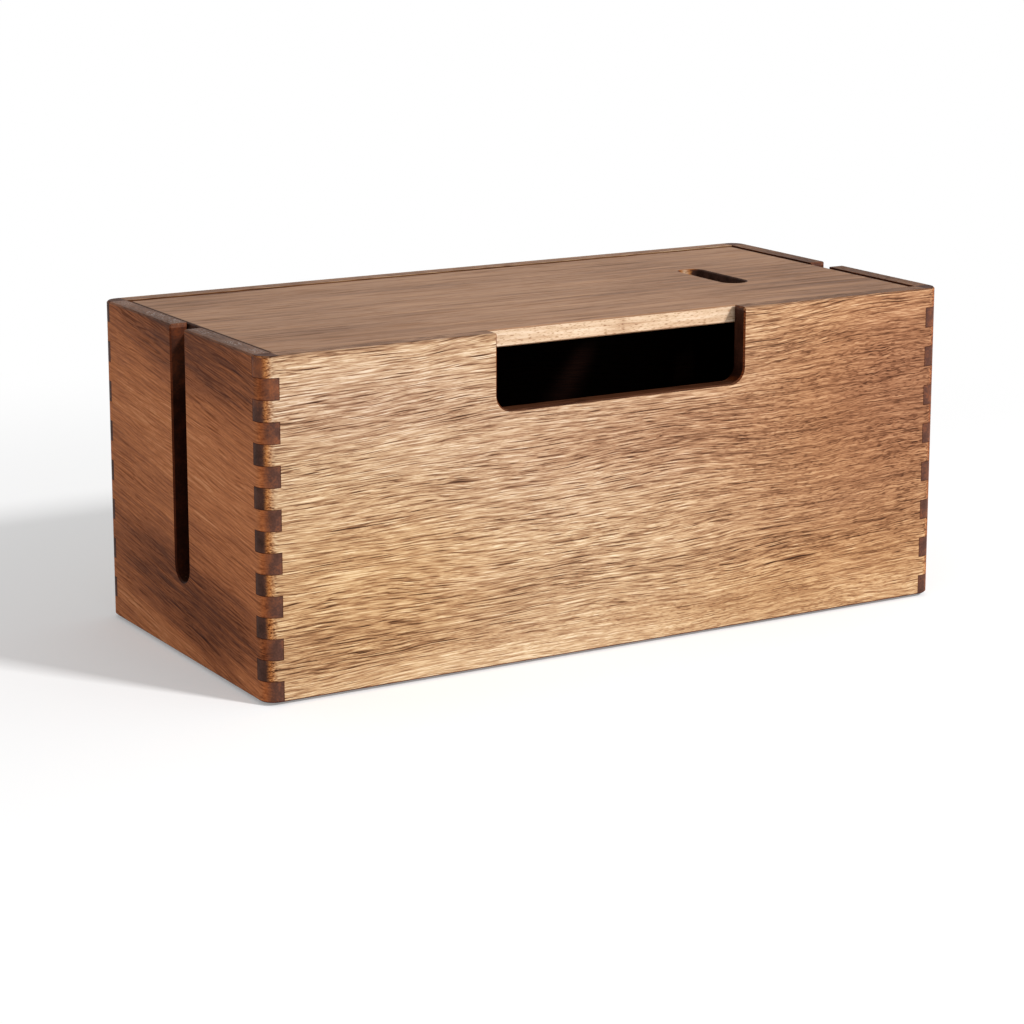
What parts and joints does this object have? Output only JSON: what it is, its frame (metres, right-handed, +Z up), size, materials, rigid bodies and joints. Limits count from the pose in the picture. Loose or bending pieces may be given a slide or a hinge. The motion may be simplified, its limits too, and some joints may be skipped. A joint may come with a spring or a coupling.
{
  "type": "cable management box",
  "caption": "Long wooden box with finger-jointed corners, a notch in the front, a cable slot in each end and a drop-in lid with a finger hole, to hide a power strip and its leads.",
  "frame": {"origin": "centre of the box's footprint, on the surface that its feet stand on", "axes": "+X along the length towards the end with the lid's finger hole, the notched front faces -Y, +Z up"},
  "size_m": [0.4, 0.19, 0.1695],
  "materials": {
    "front_board": "satin oiled acacia, golden tan with fine dark pores",
    "back_board": "satin oiled acacia, golden brown",
    "end_board": "satin oiled acacia, reddish brown with dark end grain",
    "base_board": "plain sanded plywood",
    "lid_board": "matte oiled acacia, greyish brown",
    "rest_block": "sanded acacia",
    "foot_pad": "matte dark rubber"
  },
  "bodies": {
    "case": {"front_panel": "front_board", "back_panel": "back_board", "left_end_panel": "end_board", "right_end_panel": "end_board", "base_panel": "base_board", "lid_rest_front_left": "rest_block", "lid_rest_front_right": "rest_block", "lid_rest_back_left": "rest_block", "lid_rest_back_right": "rest_block", "foot_front_left": "foot_pad", "foot_front_right": "foot_pad", "foot_back_left": "foot_pad", "foot_back_right": "foot_pad"},
    "lid": {"lid_panel": "lid_board"}
  },
  "joints": [
    {"name": "lid_lift", "type": "slide", "parent": "case", "child": "lid", "axis": [0, 0, 1], "range_m": [0, 0.06]}
  ]
}
